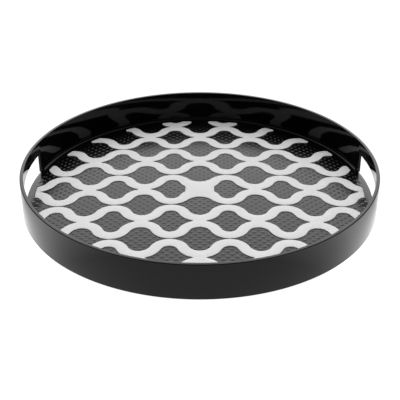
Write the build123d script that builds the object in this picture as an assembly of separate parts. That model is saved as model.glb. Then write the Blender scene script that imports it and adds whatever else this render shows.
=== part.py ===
from build123d import *
import math
import os

# Round serving tray: one moulded tray body, anti-slip strips bonded to its floor, and foot pads.
# Millimetres, +Z up. The origin is on the tray's centre line, on the surface that it stands on.
# The two carrying openings are at the -X and +X sides.

# ---- driving dimensions: the moulded body ----
TRAY_RADIUS = 190.0
TRAY_HEIGHT = 39.4
WALL_THICKNESS = 3.8
WALL_BOTTOM = 0.5
FLOOR_THICKNESS = 2.4
FLOOR_EDGE_HEIGHT = 3.6
FLOOR_CROWN = 4.4
COVE_RADIUS = 3.8
RIM_OUTER_ROUND = 1.0
RIM_INNER_ROUND = 0.5
FOOT_CHAMFER = 0.8

# ---- driving dimensions: the carrying openings ----
OPENING_HALF_LENGTH = 53.0
OPENING_TOP = 25.0
OPENING_CORNER = 2.0

# ---- driving dimensions: the wave pattern of the anti-slip strips ----
STRIP_DISC_RADIUS = 178.0
STRIP_HEIGHT = 0.8
STRIP_TIP_ROUND = 2.5
BAND_WIDTH = 11.7
WAVE_PITCH = 59.9
ROW_PITCH = 64.8
CREST_HEIGHT = 25.85
WAVE_RISE = 20.35
CREST_RADIUS = 14.5
TROUGH_RADIUS = 17.5
NODE_WEB_HALF_LENGTH = 7.0
NODE_WEB_HALF_HEIGHT = 3.0
CENTRE_WEB_HALF_LENGTH = 15.5
CENTRE_WEB_ARC_RADIUS = 15.8
CENTRE_CELL_CORNER = 4.5
OUTER_WAVE_SHIFT = 2.3
OUTER_WEB_HALF_LENGTH = 6.0
STRAIGHT_END_LENGTH = 25.0

# ---- how far each wave band runs to each side, in half waves: past the disc, or to a crest near its rim ----
BAND_PAST_DISC = 7
INNER_CHAIN_OUTWARD_BAND = 5
OUTER_CHAIN_OUTWARD_BAND = 3
OUTER_CHAIN_INWARD_BAND = 4

# ---- driving dimensions: the foot pads ----
PAD_COUNT = 6
PAD_RADIUS = 8.0
PAD_CIRCLE_RADIUS = 160.0
PAD_EDGE_ROUND = 0.5

# ---- worked out from the driving dimensions ----
INNER_RADIUS = TRAY_RADIUS - WALL_THICKNESS
CENTRE_HEIGHT = FLOOR_EDGE_HEIGHT + FLOOR_CROWN
CROWN_RADIUS = (INNER_RADIUS ** 2 + FLOOR_CROWN ** 2) / (2 * FLOOR_CROWN)
CROWN_CENTRE_Z = CENTRE_HEIGHT - CROWN_RADIUS
CREST_CENTRE_Y = CREST_HEIGHT - CREST_RADIUS
TROUGH_CENTRE_Y = CREST_HEIGHT - WAVE_RISE + TROUGH_RADIUS
RADII_SUM = CREST_RADIUS + TROUGH_RADIUS
CENTRES_SLOPE = math.atan2(WAVE_RISE - RADII_SUM, WAVE_PITCH / 2)
CENTRES_DISTANCE = math.hypot(WAVE_RISE - RADII_SUM, WAVE_PITCH / 2)
FLANK_ANGLE = CENTRES_SLOPE + math.asin(RADII_SUM / CENTRES_DISTANCE)
CUT_MARGIN = 10.0


def crowned_surface_height(radius, offset=0.0):
    """Height of the crowned floor's top face at a radius, or of a face parallel to it."""
    return CROWN_CENTRE_Z + math.sqrt((CROWN_RADIUS + offset) ** 2 - radius ** 2)


def crown_ball(offset):
    """The large ball whose top is the crowned floor, turned so that its poles are far from the tray."""
    return Pos(0, 0, CROWN_CENTRE_Z) * Rot(90, 0, 0) * Sphere(CROWN_RADIUS + offset)


def crowned_disc(outer_radius, lower_offset, upper_offset):
    """A round plate between two faces parallel to the crowned floor."""
    blank = Cylinder(outer_radius, 2 * TRAY_HEIGHT)
    return (blank & crown_ball(upper_offset)) - crown_ball(lower_offset)


def round_one_circle(shape, height, radius, size):
    """Round the one circular edge that lies at a height and has a radius."""
    edges = shape.edges().filter_by(GeomType.CIRCLE)
    edges = edges.filter_by(lambda e: abs(e.radius - radius) < 0.01 and abs(e.center().Z - height) < 0.01)
    return fillet(edges, size)


def wall_ring():
    """The upright wall with its foot and rim, and the cove that leads down to the floor."""
    cove_start_radius = INNER_RADIUS - COVE_RADIUS
    cove_start_height = crowned_surface_height(cove_start_radius)
    cove_drop = COVE_RADIUS * (1 - math.sqrt(0.5))
    floor_middle_height = cove_start_height - FLOOR_THICKNESS / 2
    foot_inner = (INNER_RADIUS, 0, WALL_BOTTOM)
    foot_outer = (TRAY_RADIUS - FOOT_CHAMFER, 0, WALL_BOTTOM)
    chamfer_top = (TRAY_RADIUS, 0, WALL_BOTTOM + FOOT_CHAMFER)
    rim_outer = (TRAY_RADIUS, 0, TRAY_HEIGHT)
    rim_inner = (INNER_RADIUS, 0, TRAY_HEIGHT)
    cove_end = (INNER_RADIUS, 0, cove_start_height + COVE_RADIUS)
    cove_middle = (INNER_RADIUS - cove_drop, 0, cove_start_height + cove_drop)
    cove_start = (cove_start_radius, 0, cove_start_height)
    step_inner = (cove_start_radius, 0, floor_middle_height)
    step_outer = (INNER_RADIUS, 0, floor_middle_height)
    outline = Wire([
        Line(foot_inner, foot_outer).edge(),
        Line(foot_outer, chamfer_top).edge(),
        Line(chamfer_top, rim_outer).edge(),
        Line(rim_outer, rim_inner).edge(),
        Line(rim_inner, cove_end).edge(),
        ThreePointArc(cove_end, cove_middle, cove_start).edge(),
        Line(cove_start, step_inner).edge(),
        Line(step_inner, step_outer).edge(),
        Line(step_outer, foot_inner).edge(),
    ])
    ring = revolve(Face(outline), axis=Axis.Z)
    ring = round_one_circle(ring, TRAY_HEIGHT, TRAY_RADIUS, RIM_OUTER_ROUND)
    return round_one_circle(ring, TRAY_HEIGHT, INNER_RADIUS, RIM_INNER_ROUND)


def opening_cutter(side):
    """What is taken out of the wall for one carrying opening: it runs down past the foot."""
    height = OPENING_TOP + CUT_MARGIN
    cutter = Box(3 * CUT_MARGIN, 2 * OPENING_HALF_LENGTH, height)
    top_corners = cutter.edges().filter_by(Axis.X).group_by(Axis.Z)[-1]
    cutter = fillet(top_corners, OPENING_CORNER)
    return Pos(side * INNER_RADIUS, 0, OPENING_TOP - height / 2) * cutter


def tray_body():
    """The moulded body: the wall with an opening at each side, and the crowned floor."""
    ring = wall_ring()
    for side in (-1, 1):
        ring = ring - opening_cutter(side)
    body = ring + crowned_disc(INNER_RADIUS, -FLOOR_THICKNESS, 0)
    return body.solid()


def wave_edges(offset, half_waves):
    """One edge of a wave band, at a distance from the band's centre line, with a straight end each side."""
    degrees = math.degrees(FLANK_ANGLE)
    edges = []
    for step in range(-half_waves, half_waves + 1):
        x = step * WAVE_PITCH / 2
        sweep = degrees if abs(step) == half_waves else 2 * degrees
        lead = 0 if step == -half_waves else degrees
        if step % 2 == 1:
            arc = CenterArc((x, CREST_CENTRE_Y), CREST_RADIUS + offset, 90 + lead, -sweep)
        else:
            arc = CenterArc((x, TROUGH_CENTRE_Y), TROUGH_RADIUS - offset, -90 - lead, sweep)
        if edges:
            edges.append(Line(edges[-1] @ 1, arc @ 0).edge())
        edges.append(arc.edge())
    straight = Vector(STRAIGHT_END_LENGTH, 0)
    left_end = Line(edges[0] @ 0 - straight, edges[0] @ 0).edge()
    right_end = Line(edges[-1] @ 1, edges[-1] @ 1 + straight).edge()
    return [left_end] + edges + [right_end]


def wave_band(half_waves):
    """One wave-shaped band of constant width: crest and trough arcs joined by straight flanks."""
    upper = wave_edges(BAND_WIDTH / 2, half_waves)
    lower = wave_edges(-BAND_WIDTH / 2, half_waves)
    left_end = Line(upper[0] @ 0, lower[0] @ 0).edge()
    right_end = Line(upper[-1] @ 1, lower[-1] @ 1).edge()
    facing_down = Face(Wire(upper + [right_end] + lower + [left_end]))
    return -facing_down


def chain_outline(upper_half_waves, lower_half_waves):
    """Two mirrored wave bands joined by a small web at each node, as one flat outline about the X axis."""
    outline = Sketch() + wave_band(upper_half_waves) + Rot(0, 0, 180) * wave_band(lower_half_waves)
    nodes_each_side = min(upper_half_waves, lower_half_waves) // 2
    for index in range(-nodes_each_side, nodes_each_side + 1):
        web = Rectangle(2 * NODE_WEB_HALF_LENGTH, 2 * NODE_WEB_HALF_HEIGHT)
        outline = outline + Pos(index * WAVE_PITCH, 0) * web
    return outline


def centre_web():
    """The broad web in the middle, hollowed above and below by an arc tangent to the flanks."""
    trough_radius = TROUGH_RADIUS - BAND_WIDTH / 2
    cosine = math.cos(FLANK_ANGLE)
    arc_centre_y = TROUGH_CENTRE_Y + (CENTRE_WEB_ARC_RADIUS - trough_radius) / cosine
    half_height = arc_centre_y - CENTRE_WEB_ARC_RADIUS * cosine
    web = Rectangle(2 * CENTRE_WEB_HALF_LENGTH, 2 * half_height)
    for side in (-1, 1):
        web = web - Pos(0, side * arc_centre_y) * Circle(CENTRE_WEB_ARC_RADIUS)
    return web


def cell_corner(side_x, side_y):
    """The filled corner that rounds a cell where it ends at the broad web."""
    band_radius = TROUGH_RADIUS + BAND_WIDTH / 2
    centre_x = CENTRE_WEB_HALF_LENGTH + CENTRE_CELL_CORNER
    reach = band_radius + CENTRE_CELL_CORNER
    drop = math.sqrt(reach ** 2 - centre_x ** 2)
    centre_y = TROUGH_CENTRE_Y - drop
    touch_x = centre_x * band_radius / reach
    touch_y = TROUGH_CENTRE_Y - drop * band_radius / reach
    inner_x = CENTRE_WEB_HALF_LENGTH - CENTRE_CELL_CORNER
    block = Rectangle(touch_x - inner_x, touch_y - centre_y)
    block = Pos((touch_x + inner_x) / 2 * side_x, (touch_y + centre_y) / 2 * side_y) * block
    return block - Pos(centre_x * side_x, centre_y * side_y) * Circle(CENTRE_CELL_CORNER)


def centre_chain_outline():
    """The middle chain, with its broad web and the rounded cell ends beside it."""
    outline = chain_outline(BAND_PAST_DISC, BAND_PAST_DISC) + centre_web()
    for side_x in (-1, 1):
        for side_y in (-1, 1):
            outline = outline + cell_corner(side_x, side_y)
    return outline


def inner_chain_outline():
    """The chain next to the middle one, to its rear."""
    return Pos(0, ROW_PITCH) * chain_outline(INNER_CHAIN_OUTWARD_BAND, BAND_PAST_DISC)


def outer_chain_outline():
    """The rearmost chain, with the part-waves of the next row joined to its two middle crests."""
    chain = chain_outline(OUTER_CHAIN_OUTWARD_BAND, OUTER_CHAIN_INWARD_BAND)
    part_waves = Rot(0, 0, 180) * wave_band(OUTER_CHAIN_OUTWARD_BAND)
    outline = Pos(0, 2 * ROW_PITCH) * chain + Pos(0, 3 * ROW_PITCH - OUTER_WAVE_SHIFT) * part_waves
    for side in (-1, 1):
        web = Rectangle(2 * OUTER_WEB_HALF_LENGTH, 2 * NODE_WEB_HALF_HEIGHT)
        outline = outline + Pos(side * WAVE_PITCH / 2, 2.5 * ROW_PITCH - OUTER_WAVE_SHIFT / 2) * web
    return outline


def raise_strip(outline):
    """Clip a flat outline to the strip disc, round its tips and lay it on the crowned floor."""
    clipped = outline & Circle(STRIP_DISC_RADIUS)
    faces = clipped.faces().filter_by(lambda f: f.area > BAND_WIDTH ** 2)
    blank = extrude(Sketch() + faces, CENTRE_HEIGHT + CUT_MARGIN)
    upright = blank.edges().filter_by(Axis.Z)
    tips = upright.filter_by(lambda e: abs(math.hypot(e.center().X, e.center().Y) - STRIP_DISC_RADIUS) < 0.01)
    blank = fillet(tips, STRIP_TIP_ROUND)
    return blank & crowned_disc(STRIP_DISC_RADIUS + 1, 0, STRIP_HEIGHT)


def grip_strips():
    """The anti-slip strips, one chain of cells each; the front ones are the rear ones turned half round."""
    centre = raise_strip(centre_chain_outline())
    inner = raise_strip(inner_chain_outline())
    outer = raise_strip(outer_chain_outline())
    return {
        "grip_strip_front_outer": Rot(0, 0, 180) * outer,
        "grip_strip_front_inner": Rot(0, 0, 180) * inner,
        "grip_strip_centre": centre,
        "grip_strip_rear_inner": inner,
        "grip_strip_rear_outer": outer,
    }


def foot_pad(angle):
    """One round pad, from the standing surface up to the underside of the crowned floor."""
    blank = Pos(0, 0, CENTRE_HEIGHT / 2) * Cylinder(PAD_RADIUS, CENTRE_HEIGHT)
    blank = fillet(blank.edges().group_by(Axis.Z)[0], PAD_EDGE_ROUND)
    blank = Rot(0, 0, angle) * Pos(PAD_CIRCLE_RADIUS, 0, 0) * blank
    above_underside = crowned_disc(INNER_RADIUS - 1, -FLOOR_THICKNESS, CUT_MARGIN)
    return blank - above_underside


def foot_pads():
    """The foot pads, evenly spaced and turned so that none lies under a carrying opening."""
    pads = {}
    for index in range(PAD_COUNT):
        angle = (index + 0.5) * 360 / PAD_COUNT
        pads[f"foot_pad_{index + 1}"] = foot_pad(angle)
    return pads


os.makedirs("parts", exist_ok=True)
nodes = {"tray_body": tray_body()}
nodes.update(grip_strips())
nodes.update(foot_pads())
for name, shape in nodes.items():
    shape.label = name
    export_step(shape, f"parts/{name}.step")
    print(name, len(shape.solids()), "solids, volume", round(shape.volume / 1000, 2), "cm3")
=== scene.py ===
import math

import bmesh
import bpy
import numpy as np
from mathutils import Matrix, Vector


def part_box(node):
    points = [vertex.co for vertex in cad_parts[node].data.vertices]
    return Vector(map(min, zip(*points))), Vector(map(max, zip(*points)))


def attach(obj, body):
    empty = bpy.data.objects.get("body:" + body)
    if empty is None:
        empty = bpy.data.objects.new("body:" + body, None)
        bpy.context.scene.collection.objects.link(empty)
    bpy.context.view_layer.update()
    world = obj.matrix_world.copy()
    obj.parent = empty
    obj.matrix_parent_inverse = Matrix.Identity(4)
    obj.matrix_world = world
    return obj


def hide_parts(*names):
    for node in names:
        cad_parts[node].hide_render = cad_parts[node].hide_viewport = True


# The looks of a round serving tray: a glossy black moulded body with a studded floor, light grey
# anti-slip strips and dark foot pads. Lengths in this script are millimetres until a mesh is made.

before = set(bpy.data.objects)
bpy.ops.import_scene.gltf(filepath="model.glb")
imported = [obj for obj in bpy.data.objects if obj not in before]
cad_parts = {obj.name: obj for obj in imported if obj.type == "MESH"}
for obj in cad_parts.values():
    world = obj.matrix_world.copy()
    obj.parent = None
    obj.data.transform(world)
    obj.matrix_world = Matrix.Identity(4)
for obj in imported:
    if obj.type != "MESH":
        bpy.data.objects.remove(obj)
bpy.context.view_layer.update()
body_low, body_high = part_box("tray_body")
MM = 0.001

# ---- the body: its box is the frame's, and the rest repeats the CAD dimensions ----
TRAY_RADIUS = body_high.x / MM
TRAY_HEIGHT = body_high.z / MM
WALL_BOTTOM = body_low.z / MM
INNER_RADIUS = 186.2
FLOOR_EDGE_HEIGHT = 3.6
FLOOR_CROWN = 4.4
FLOOR_THICKNESS = 2.4
COVE_RADIUS = 3.8
RIM_OUTER_ROUND = 1.0
RIM_INNER_ROUND = 0.5
FOOT_CHAMFER = 0.8
OPENING_HALF_LENGTH = 53.0
OPENING_TOP = 25.0
OPENING_CORNER = 2.0

# ---- how finely the body is meshed, and how its sharp edges are broken ----
OPENING_COLUMNS = 40
WALL_COLUMNS = 176
FLOOR_RINGS = 24
ARC_STEPS = 6
EDGE_ROUND = 0.3
EDGE_ROUND_STEPS = 2
ROUNDED_FROM_ANGLE = math.radians(40)
SMOOTH_ANGLE = math.radians(35)

# ---- the studs of the floor's grain ----
STUD_PITCH_X = 9.09
STUD_PITCH_Y = 8.56
STUD_START_Y = 1.3
STUD_RADIUS = 2.3
STUD_HEIGHT = 0.36
STUD_SUNK = 0.05
STUD_FIELD_RADIUS = 179.5
STUD_SIDES = 12
STUD_RINGS = (0.4, 0.75, 1.0)

# ---- the strips and the foot pads ----
STRIP_HEIGHT = 0.8
STRIP_SUNK = 0.1
STRIP_EDGE_ROUND = 0.3
STRIP_EDGE_STEPS = 3
STRIP_SMOOTH_ANGLE = math.radians(50)
STRIP_TOP_NORMAL_Z = 0.9
CORNER_ANGLE = math.radians(25)
REFINE_STEPS = 3
MITRE_LIMIT = 0.5
WELD_DISTANCE = 0.001
PAD_RADIUS = 8.0
PAD_EDGE_ROUND = 0.5
PAD_RECESS_RADIUS = 5.5
PAD_RECESS_DEPTH = 0.3
PAD_SIDES = 64

# ---- most of a noise texture's values lie in this span ----
NOISE_SPAN = (0.3, 0.7)

# ---- where the floor's satin finish fades into the polished wall ----
SATIN_FADE = 0.5

# ---- the studio and the camera, in metres; the world's own spans are parts of a direction ----
FLOOR_SIZE = 12.0
FLOOR_CELLS = 8
FLOOR_PLACE = (-0.01, 0.0, -0.0005)
FLOOR_GLOW = 1.0
FLOOR_SIDE_GLOW = 3.0
SIDE_GLOW_X = (0.13, 0.33)
SIDE_GLOW_FADE_Y = (-0.11, -0.03)
BACKDROP_GLOW = 1.3
STUDIO_DARK = 0.12
STUDIO_BRIGHT = 3.6
STUDIO_BRIGHT_Y = (-0.1, 0.6)
STUDIO_SIDE_SHARE = 0.05
STUDIO_SIDE_X = (0.3, 0.6)
LAMP_SIZE = 1.4
LAMP_POWER = 12.0
LAMP_PLACE = (0.0, -0.5, 1.4)
CAMERA_DISTANCE = 1.0032
CAMERA_ELEVATION = math.radians(30.19)
CAMERA_LENS = 82.88
CAMERA_SENSOR = 36.0
CAMERA_SHIFT = (0.0006, -0.0106)
CAMERA_CLIP = (0.01, 50.0)

# ---- worked out ----
COVE_START_RADIUS = INNER_RADIUS - COVE_RADIUS
CENTRE_HEIGHT = FLOOR_EDGE_HEIGHT + FLOOR_CROWN
CROWN_RADIUS = (INNER_RADIUS ** 2 + FLOOR_CROWN ** 2) / (2 * FLOOR_CROWN)
CROWN_CENTRE_Z = CENTRE_HEIGHT - CROWN_RADIUS
HALF_RING = OPENING_COLUMNS + WALL_COLUMNS
COLUMNS = 2 * HALF_RING


def crown_height(radius, offset=0.0):
    """Height of the crowned floor's top face at a radius, or of a face parallel to it."""
    return CROWN_CENTRE_Z + math.sqrt((CROWN_RADIUS + offset) ** 2 - radius ** 2)


def arc(centre, radius, start, end, steps):
    """Points along an arc in the (radius, height) plane, both ends among them; angles in degrees."""
    points = []
    for angle in np.radians(np.linspace(start, end, steps + 1)):
        points.append((centre[0] + radius * math.cos(angle), centre[1] + radius * math.sin(angle)))
    return points


def mesh_object(name, bm, material, smooth_angle=SMOOTH_ANGLE):
    """Makes a smooth-shaded object of a bmesh in millimetres, and puts it on the frame."""
    bmesh.ops.scale(bm, vec=(MM, MM, MM), verts=bm.verts)
    bmesh.ops.recalc_face_normals(bm, faces=bm.faces)
    mesh = bpy.data.meshes.new(name)
    bm.to_mesh(mesh)
    bm.free()
    mesh.polygons.foreach_set("use_smooth", [True] * len(mesh.polygons))
    mesh.set_sharp_from_angle(angle=smooth_angle)
    mesh.materials.append(material)
    piece = bpy.data.objects.new(name, mesh)
    bpy.context.scene.collection.objects.link(piece)
    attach(piece, "root")
    return piece


# ---------------------------------------------------------------- the moulded body
def column_angle(column, radius):
    """The angle of a column line. At the ends of the openings it is the flat end face at +-Y."""
    half_turns, local = divmod(column, HALF_RING)
    opening_angle = math.asin(OPENING_HALF_LENGTH / max(radius, COVE_START_RADIUS))
    if local <= OPENING_COLUMNS:
        angle = opening_angle * (2 * local / OPENING_COLUMNS - 1)
    else:
        share = (local - OPENING_COLUMNS) / WALL_COLUMNS
        angle = opening_angle + share * (math.pi - 2 * opening_angle)
    return angle + half_turns * math.pi


class RingMesh:
    """A bmesh whose vertices are made once for each column line, radius and height."""

    def __init__(self):
        self.bm = bmesh.new()
        self.made = {}

    def vertex(self, column, point):
        radius, height = point
        column = column % COLUMNS if radius > 0 else 0
        key = (column, round(radius, 4), round(height, 4))
        if key not in self.made:
            angle = column_angle(column, radius)
            place = (radius * math.cos(angle), radius * math.sin(angle), height)
            self.made[key] = self.bm.verts.new(place)
        return self.made[key]

    def strip(self, column, profile):
        """The faces between a column line and the next, along a profile."""
        for here, there in zip(profile, profile[1:]):
            corners = [
                self.vertex(column, here),
                self.vertex(column + 1, here),
                self.vertex(column + 1, there),
                self.vertex(column, there),
            ]
            self.bm.faces.new(list(dict.fromkeys(corners)))

    def cap(self, column, profile):
        """One flat face across a column line."""
        self.bm.faces.new([self.vertex(column, point) for point in profile])


def body_profiles():
    """The stretches of the body's cross-section that its columns are made of."""
    radii = np.linspace(0, COVE_START_RADIUS, FLOOR_RINGS + 1)
    underside = [(r, crown_height(r, -FLOOR_THICKNESS)) for r in radii]
    underside.append((INNER_RADIUS, crown_height(INNER_RADIUS, -FLOOR_THICKNESS)))
    foot = [
        (INNER_RADIUS, WALL_BOTTOM),
        (TRAY_RADIUS - FOOT_CHAMFER, WALL_BOTTOM),
        (TRAY_RADIUS, WALL_BOTTOM + FOOT_CHAMFER),
    ]
    outer_centre = (TRAY_RADIUS - RIM_OUTER_ROUND, TRAY_HEIGHT - RIM_OUTER_ROUND)
    inner_centre = (INNER_RADIUS + RIM_INNER_ROUND, TRAY_HEIGHT - RIM_INNER_ROUND)
    rim = arc(outer_centre, RIM_OUTER_ROUND, 0, 90, ARC_STEPS)
    rim += arc(inner_centre, RIM_INNER_ROUND, 90, 180, ARC_STEPS)
    cove_start_height = crown_height(COVE_START_RADIUS)
    cove_centre = (COVE_START_RADIUS, cove_start_height + COVE_RADIUS)
    cove = arc(cove_centre, COVE_RADIUS, 0, -90, ARC_STEPS)
    cove[-1] = (COVE_START_RADIUS, cove_start_height)
    floor = [(r, crown_height(r)) for r in radii[::-1]]
    return underside, foot, rim, cove, floor


def round_edges(bm, edges, size, steps, clamped):
    """Rounds edges by a size; clamped keeps the rounds from running past a short neighbouring edge."""
    bmesh.ops.bevel(
        bm, geom=edges, offset=size, segments=steps, profile=0.5, affect="EDGES", clamp_overlap=clamped
    )


def is_rounded(edge):
    """Whether an edge gets the small round: sharp and outward, and not where the cove meets the floor."""
    cove_middle_height = crown_height(INNER_RADIUS) + COVE_RADIUS / 2
    low = min(vert.co.z for vert in edge.verts) < cove_middle_height
    inside = min(math.hypot(*vert.co.xy) for vert in edge.verts) < INNER_RADIUS - EDGE_ROUND
    if not edge.is_convex or (low and inside):
        return False
    return edge.calc_face_angle() > ROUNDED_FROM_ANGLE


def tray_body():
    """The whole moulding as one closed mesh, open at the two carrying openings."""
    underside, foot, rim, cove, floor = body_profiles()
    opening_outer = (TRAY_RADIUS, OPENING_TOP)
    opening_inner = (INNER_RADIUS, OPENING_TOP)
    floor_edge = (INNER_RADIUS, crown_height(INNER_RADIUS))
    whole = underside + foot + [opening_outer] + rim + [opening_inner] + cove + floor[1:]
    bridge = [opening_outer] + rim + [opening_inner, opening_outer]
    open_floor = underside + [floor_edge] + floor
    end_face = [opening_outer] + foot[::-1] + [underside[-1], floor_edge] + cove[::-1] + [opening_inner]
    ring = RingMesh()
    for column in range(COLUMNS):
        if column % HALF_RING < OPENING_COLUMNS:
            ring.strip(column, bridge)
            ring.strip(column, open_floor)
        else:
            ring.strip(column, whole)
    corners = []
    for start in (0, HALF_RING):
        for column in (start, start + OPENING_COLUMNS):
            ring.cap(column, end_face)
            pair = [ring.vertex(column, opening_inner), ring.vertex(column, opening_outer)]
            corners.append(ring.bm.edges.get(pair))
    bmesh.ops.recalc_face_normals(ring.bm, faces=ring.bm.faces)
    round_edges(ring.bm, corners, OPENING_CORNER, ARC_STEPS, False)
    outer_edges = [edge for edge in ring.bm.edges if is_rounded(edge)]
    round_edges(ring.bm, outer_edges, EDGE_ROUND, EDGE_ROUND_STEPS, True)
    return ring.bm


def stud_places():
    """The staggered grid of the grain, over the floor inside the cove."""
    places = []
    rows = int(STUD_FIELD_RADIUS / STUD_PITCH_Y * 2) + 2
    columns = int(STUD_FIELD_RADIUS / STUD_PITCH_X) + 2
    for row in range(-rows, rows + 1):
        y = STUD_START_Y + row * STUD_PITCH_Y / 2
        for column in range(-columns, columns + 1):
            x = (column + 0.5 * (row % 2)) * STUD_PITCH_X
            if math.hypot(x, y) < STUD_FIELD_RADIUS:
                places.append((x, y))
    return places


def add_studs(bm):
    """Adds the low round studs to the floor, each a shallow cap that starts just under its surface."""
    cap_radius = (STUD_RADIUS ** 2 + STUD_HEIGHT ** 2) / (2 * STUD_HEIGHT)
    turns = [2 * math.pi * k / STUD_SIDES for k in range(STUD_SIDES)]
    for x, y in stud_places():
        base = crown_height(math.hypot(x, y))
        top = bm.verts.new((x, y, base + STUD_HEIGHT))
        inner = None
        for share in STUD_RINGS:
            radius = STUD_RADIUS * share
            height = math.sqrt(cap_radius ** 2 - radius ** 2) - cap_radius + STUD_HEIGHT
            if share == STUD_RINGS[-1]:
                height -= STUD_SUNK
            ring = []
            for turn in turns:
                place = (x + radius * math.cos(turn), y + radius * math.sin(turn), base + height)
                ring.append(bm.verts.new(place))
            for k in range(STUD_SIDES):
                after = (k + 1) % STUD_SIDES
                if inner is None:
                    bm.faces.new((top, ring[k], ring[after]))
                else:
                    bm.faces.new((inner[k], ring[k], ring[after], inner[after]))
            inner = ring
        bm.faces.new(inner[::-1])


# ---------------------------------------------------------------- the anti-slip strips
def top_loops(node):
    """The closed outlines, in millimetres, round the top face of a strip's CAD solid."""
    bm = bmesh.new()
    bm.from_mesh(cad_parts[node].data)
    bmesh.ops.remove_doubles(bm, verts=bm.verts, dist=WELD_DISTANCE * MM)
    bm.normal_update()
    top = [f for f in bm.faces if f.normal.z > STRIP_TOP_NORMAL_Z]
    in_top = set(top)
    after = {}
    for face in top:
        for loop in face.loops:
            if sum(f in in_top for f in loop.edge.link_faces) == 1:
                after[loop.vert] = loop.link_loop_next.vert
    loops = []
    while after:
        vert = next(iter(after))
        points = []
        while vert in after:
            points.append((vert.co.x / MM, vert.co.y / MM))
            vert = after.pop(vert)
        loops.append(np.array(points))
    bm.free()
    return loops


def refine(points):
    """A closed outline with more points: its corners stay sharp, and its arcs follow their tangents."""
    before = points - np.roll(points, 1, axis=0)
    onward = np.roll(points, -1, axis=0) - points
    before_length = np.linalg.norm(before, axis=1)
    onward_length = np.linalg.norm(onward, axis=1)
    cross = before[:, 0] * onward[:, 1] - before[:, 1] * onward[:, 0]
    turn = np.abs(np.arctan2(cross, (before * onward).sum(axis=1)))
    in_direction = before / before_length[:, None]
    out_direction = onward / onward_length[:, None]
    blend = before_length / (before_length + onward_length)
    tangent = in_direction * (1 - blend[:, None]) + out_direction * blend[:, None]
    tangent /= np.linalg.norm(tangent, axis=1)[:, None]
    is_corner = turn > CORNER_ANGLE
    leaving = np.where(is_corner[:, None], out_direction, tangent)
    arriving = np.where(is_corner[:, None], in_direction, tangent)
    out = []
    for k in range(len(points)):
        k_next = (k + 1) % len(points)
        for t in np.arange(REFINE_STEPS) / REFINE_STEPS:
            start = points[k] * (2 * t ** 3 - 3 * t ** 2 + 1)
            end = points[k_next] * (3 * t ** 2 - 2 * t ** 3)
            pull = leaving[k] * (t ** 3 - 2 * t ** 2 + t) + arriving[k_next] * (t ** 3 - t ** 2)
            out.append(start + end + pull * onward_length[k])
    return np.array(out)


def inset(points, distance):
    """An outline moved into its material, which lies on its left."""
    onward = np.roll(points, -1, axis=0) - points
    onward /= np.linalg.norm(onward, axis=1)[:, None]
    left = np.stack([-onward[:, 1], onward[:, 0]], axis=1)
    left_before = np.roll(left, 1, axis=0)
    middle = left + left_before
    middle /= np.maximum((middle * left).sum(axis=1), MITRE_LIMIT)[:, None]
    return points + middle * distance


def strip_bmesh(node):
    """A strip with a softly rounded upper edge, laid on the crowned floor."""
    bm = bmesh.new()
    quarter = [(0.0, -STRIP_SUNK)]
    for angle in np.radians(np.linspace(0, 90, STRIP_EDGE_STEPS + 1)):
        level = STRIP_HEIGHT - STRIP_EDGE_ROUND * (1 - math.sin(angle))
        quarter.append((STRIP_EDGE_ROUND * (1 - math.cos(angle)), level))
    first_rings, last_rings = [], []
    for outline in top_loops(node):
        outline = refine(outline)
        rings = []
        for distance, level in quarter:
            ring = []
            for x, y in inset(outline, distance):
                ring.append(bm.verts.new((x, y, crown_height(math.hypot(x, y)) + level)))
            rings.append(ring)
        for lower, upper in zip(rings, rings[1:]):
            for k in range(len(lower)):
                after = (k + 1) % len(lower)
                bm.faces.new((lower[k], lower[after], upper[after], upper[k]))
        first_rings.append(rings[0])
        last_rings.append(rings[-1])
    for rings in (first_rings, last_rings):
        edges = []
        for ring in rings:
            for k in range(len(ring)):
                edges.append(bm.edges.get((ring[k], ring[(k + 1) % len(ring)])))
        bmesh.ops.triangle_fill(bm, use_beauty=True, use_dissolve=False, edges=edges)
    return bm


# ---------------------------------------------------------------- the foot pads
def pad_bmesh(node):
    """A round pad with a rounded lower edge and a shallow recess, up to the crowned underside."""
    low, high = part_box(node)
    x0 = (low.x + high.x) / 2 / MM
    y0 = (low.y + high.y) / 2 / MM
    corner = (PAD_RADIUS - PAD_EDGE_ROUND, low.z / MM + PAD_EDGE_ROUND)
    profile = [(0.0, PAD_RECESS_DEPTH), (PAD_RECESS_RADIUS - PAD_RECESS_DEPTH, PAD_RECESS_DEPTH)]
    profile.append((PAD_RECESS_RADIUS, 0.0))
    profile += arc(corner, PAD_EDGE_ROUND, -90, 0, ARC_STEPS)
    profile += [(PAD_RADIUS, None), (0.0, None)]
    bm = bmesh.new()
    rings = []
    for radius, height in profile:
        ring = []
        for k in range(PAD_SIDES if radius else 1):
            angle = 2 * math.pi * k / PAD_SIDES
            x = x0 + radius * math.cos(angle)
            y = y0 + radius * math.sin(angle)
            z = crown_height(math.hypot(x, y), -FLOOR_THICKNESS) if height is None else height
            ring.append(bm.verts.new((x, y, z)))
        rings.append(ring)
    for lower, upper in zip(rings, rings[1:]):
        for k in range(PAD_SIDES):
            after = (k + 1) % PAD_SIDES
            corners = [lower[k % len(lower)], lower[after % len(lower)]]
            corners += [upper[after % len(upper)], upper[k % len(upper)]]
            bm.faces.new(list(dict.fromkeys(corners)))
    return bm


# ---------------------------------------------------------------- materials
def new_material(name):
    """A node material: its tree, its Principled shader and the object coordinates."""
    material = bpy.data.materials.new(name)
    material.use_nodes = True
    tree = material.node_tree
    tree.nodes.clear()
    output = tree.nodes.new("ShaderNodeOutputMaterial")
    shader = tree.nodes.new("ShaderNodeBsdfPrincipled")
    tree.links.new(shader.outputs["BSDF"], output.inputs["Surface"])
    place = tree.nodes.new("ShaderNodeTexCoord").outputs["Object"]
    return material, tree, shader, place


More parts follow.
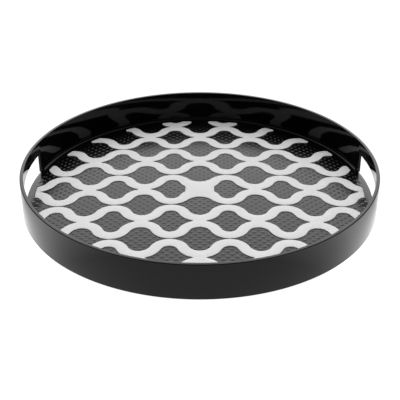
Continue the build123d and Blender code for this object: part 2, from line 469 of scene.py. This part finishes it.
def noise(tree, place, scale, detail=2.0, roughness=0.5):
    """A noise texture's value; scale is waves per metre."""
    node = tree.nodes.new("ShaderNodeTexNoise")
    node.inputs["Scale"].default_value = scale
    node.inputs["Detail"].default_value = detail
    node.inputs["Roughness"].default_value = roughness
    tree.links.new(place, node.inputs["Vector"])
    return node.outputs["Fac"]


def map_range(tree, value, low, high, span=NOISE_SPAN):
    """Maps a value's span onto low to high, and holds it there outside the span."""
    node = tree.nodes.new("ShaderNodeMapRange")
    node.inputs["From Min"].default_value, node.inputs["From Max"].default_value = span
    node.inputs["To Min"].default_value = low
    node.inputs["To Max"].default_value = high
    tree.links.new(value, node.inputs["Value"])
    return node.outputs["Result"]


def colour_mix(tree, value, dark, light):
    """A colour between two greys by a value; each is given as its three channels."""
    node = tree.nodes.new("ShaderNodeMix")
    node.data_type = "RGBA"
    node.inputs["A"].default_value = (*dark, 1)
    node.inputs["B"].default_value = (*light, 1)
    tree.links.new(value, node.inputs["Factor"])
    return node.outputs["Result"]


def maths(tree, operation, *values):
    """A Math node's result; each value is a socket or a number."""
    node = tree.nodes.new("ShaderNodeMath")
    node.operation = operation
    for socket, value in zip(node.inputs, values):
        if isinstance(value, bpy.types.NodeSocket):
            tree.links.new(value, socket)
        else:
            socket.default_value = value
    return node.outputs["Value"]


def across_and_along(tree, vector):
    """A vector's distance to either side of the middle plane, |X|, and its Y."""
    split = tree.nodes.new("ShaderNodeSeparateXYZ")
    tree.links.new(vector, split.inputs["Vector"])
    return maths(tree, "ABSOLUTE", split.outputs["X"]), split.outputs["Y"]


def radius_of(tree, place):
    """The distance from the tray's upright axis."""
    split = tree.nodes.new("ShaderNodeSeparateXYZ")
    tree.links.new(place, split.inputs["Vector"])
    squares = [maths(tree, "MULTIPLY", split.outputs[axis], split.outputs[axis]) for axis in "XY"]
    return maths(tree, "SQRT", maths(tree, "ADD", *squares))


def mix_values(tree, share, first, second):
    """Between two values by a share from 0 to 1; each is a socket or a number."""
    node = tree.nodes.new("ShaderNodeMix")
    for name, value in (("Factor", share), ("A", first), ("B", second)):
        if isinstance(value, bpy.types.NodeSocket):
            tree.links.new(value, node.inputs[name])
        else:
            node.inputs[name].default_value = value
    return node.outputs["Result"]


def bump(tree, shader, height, strength, distance):
    """Small relief from a height value; distance is in metres."""
    node = tree.nodes.new("ShaderNodeBump")
    node.inputs["Strength"].default_value = strength
    node.inputs["Distance"].default_value = distance
    tree.links.new(height, node.inputs["Height"])
    tree.links.new(node.outputs["Normal"], shader.inputs["Normal"])


def plastic_material():
    """Black moulded plastic: polished wall, satin floor, faint flow marks and a trace of surface ripple."""
    material, tree, shader, place = new_material("tray_plastic")
    shader.inputs["IOR"].default_value = 1.31
    flow = noise(tree, place, 9, 3)
    colour = colour_mix(tree, flow, (0.0010, 0.0010, 0.0011), (0.0022, 0.0022, 0.0023))
    tree.links.new(colour, shader.inputs["Base Color"])
    gloss = noise(tree, place, 60, 4, 0.6)
    wall_span = ((INNER_RADIUS - SATIN_FADE) * MM, INNER_RADIUS * MM)
    on_wall = map_range(tree, radius_of(tree, place), 0, 1, wall_span)
    satin = map_range(tree, gloss, 0.17, 0.22)
    polished = map_range(tree, gloss, 0.05, 0.11)
    tree.links.new(mix_values(tree, on_wall, satin, polished), shader.inputs["Roughness"])
    bump(tree, shader, noise(tree, place, 220, 1), 0.08, 0.0001)
    return material


def grip_material():
    """Light grey soft rubber: matt, finely grained, with slight differences in shade."""
    material, tree, shader, place = new_material("grip_rubber")
    shader.inputs["IOR"].default_value = 1.45
    shade = noise(tree, place, 45, 4, 0.6)
    colour = colour_mix(tree, shade, (0.61, 0.61, 0.61), (0.67, 0.67, 0.67))
    tree.links.new(colour, shader.inputs["Base Color"])
    grain = noise(tree, place, 1600, 2)
    tree.links.new(map_range(tree, grain, 0.5, 0.68), shader.inputs["Roughness"])
    bump(tree, shader, grain, 0.25, 0.0001)
    return material


def pad_material():
    """Dark soft rubber: matt, with a coarser grain."""
    material, tree, shader, place = new_material("pad_rubber")
    shader.inputs["IOR"].default_value = 1.45
    shade = noise(tree, place, 120, 3)
    colour = colour_mix(tree, shade, (0.018, 0.018, 0.019), (0.032, 0.032, 0.034))
    tree.links.new(colour, shader.inputs["Base Color"])
    grain = noise(tree, place, 900, 3)
    tree.links.new(map_range(tree, grain, 0.65, 0.85), shader.inputs["Roughness"])
    bump(tree, shader, grain, 0.4, 0.0002)
    return material


def floor_material():
    """The pale studio floor: a backlit white board, brighter beside the front half of the tray."""
    material, tree, shader, place = new_material("studio_floor")
    shade = noise(tree, place, 3, 2)
    colour = colour_mix(tree, shade, (0.10, 0.10, 0.10), (0.12, 0.12, 0.12))
    tree.links.new(colour, shader.inputs["Base Color"])
    shader.inputs["Roughness"].default_value = 0.9
    shader.inputs["Specular IOR Level"].default_value = 0.0
    shader.inputs["Emission Color"].default_value = (1, 1, 1, 1)
    across, along = across_and_along(tree, place)
    beside = map_range(tree, across, 0.0, FLOOR_SIDE_GLOW, SIDE_GLOW_X)
    in_front = map_range(tree, along, 1.0, 0.0, SIDE_GLOW_FADE_Y)
    glow = maths(tree, "MULTIPLY_ADD", beside, in_front, FLOOR_GLOW)
    tree.links.new(glow, shader.inputs["Emission Strength"])
    return material


# ---------------------------------------------------------------- the object
plastic = plastic_material()
grip = grip_material()
pad = pad_material()

body_bm = tray_body()
add_studs(body_bm)
body = mesh_object("moulded_body", body_bm, plastic)
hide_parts("tray_body")

for node_name in sorted(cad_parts):
    if node_name.startswith("grip_strip"):
        strip_bm = strip_bmesh(node_name)
        strip = mesh_object("visual_" + node_name, strip_bm, grip, STRIP_SMOOTH_ANGLE)
        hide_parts(node_name)
    elif node_name.startswith("foot_pad"):
        foot = mesh_object("visual_" + node_name, pad_bmesh(node_name), pad)
        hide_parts(node_name)

# ---------------------------------------------------------------- floor, light and camera
floor_bm = bmesh.new()
bmesh.ops.create_grid(floor_bm, x_segments=FLOOR_CELLS, y_segments=FLOOR_CELLS, size=FLOOR_SIZE / 2)
floor_mesh = bpy.data.meshes.new("studio_floor")
floor_bm.to_mesh(floor_mesh)
floor_bm.free()
floor_object = bpy.data.objects.new("studio_floor", floor_mesh)
floor_object.location = FLOOR_PLACE
floor_object.data.materials.append(floor_material())
bpy.context.scene.collection.objects.link(floor_object)


def studio_world():
    """A soft studio: bright behind the tray, dark elsewhere, and plain white where it is seen directly."""
    world = bpy.data.worlds.new("studio")
    bpy.context.scene.world = world
    world.use_nodes = True
    tree = world.node_tree
    tree.nodes.clear()
    output = tree.nodes.new("ShaderNodeOutputWorld")
    background = tree.nodes.new("ShaderNodeBackground")
    tree.links.new(background.outputs["Background"], output.inputs["Surface"])
    direction = tree.nodes.new("ShaderNodeTexCoord").outputs["Generated"]
    across, along = across_and_along(tree, direction)
    behind = map_range(tree, along, STUDIO_DARK, STUDIO_BRIGHT, STUDIO_BRIGHT_Y)
    width = map_range(tree, across, 1.0, STUDIO_SIDE_SHARE, STUDIO_SIDE_X)
    strength = maths(tree, "MULTIPLY", behind, width)
    seen = tree.nodes.new("ShaderNodeLightPath").outputs["Is Camera Ray"]
    tree.links.new(mix_values(tree, seen, strength, BACKDROP_GLOW), background.inputs["Strength"])


studio_world()

top_lamp = bpy.data.objects.new("top_lamp", bpy.data.lights.new("top_lamp", "AREA"))
top_lamp.data.shape = "DISK"
top_lamp.data.size = LAMP_SIZE
top_lamp.data.energy = LAMP_POWER
top_lamp.location = LAMP_PLACE
top_lamp.rotation_euler = top_lamp.location.to_track_quat("Z", "Y").to_euler()
top_lamp.visible_glossy = False
bpy.context.scene.collection.objects.link(top_lamp)

camera = bpy.data.objects.new("camera", bpy.data.cameras.new("camera"))
bpy.context.scene.collection.objects.link(camera)
camera.data.sensor_width = CAMERA_SENSOR
camera.data.lens = CAMERA_LENS
camera.data.shift_x, camera.data.shift_y = CAMERA_SHIFT
camera.data.clip_start, camera.data.clip_end = CAMERA_CLIP
camera.location = (
    0.0,
    -CAMERA_DISTANCE * math.cos(CAMERA_ELEVATION),
    CAMERA_DISTANCE * math.sin(CAMERA_ELEVATION),
)
camera.rotation_euler = (-camera.location).to_track_quat("-Z", "Y").to_euler()
bpy.context.scene.camera = camera
bpy.context.scene.view_settings.view_transform = "Standard"
bpy.context.scene.view_settings.look = "None"
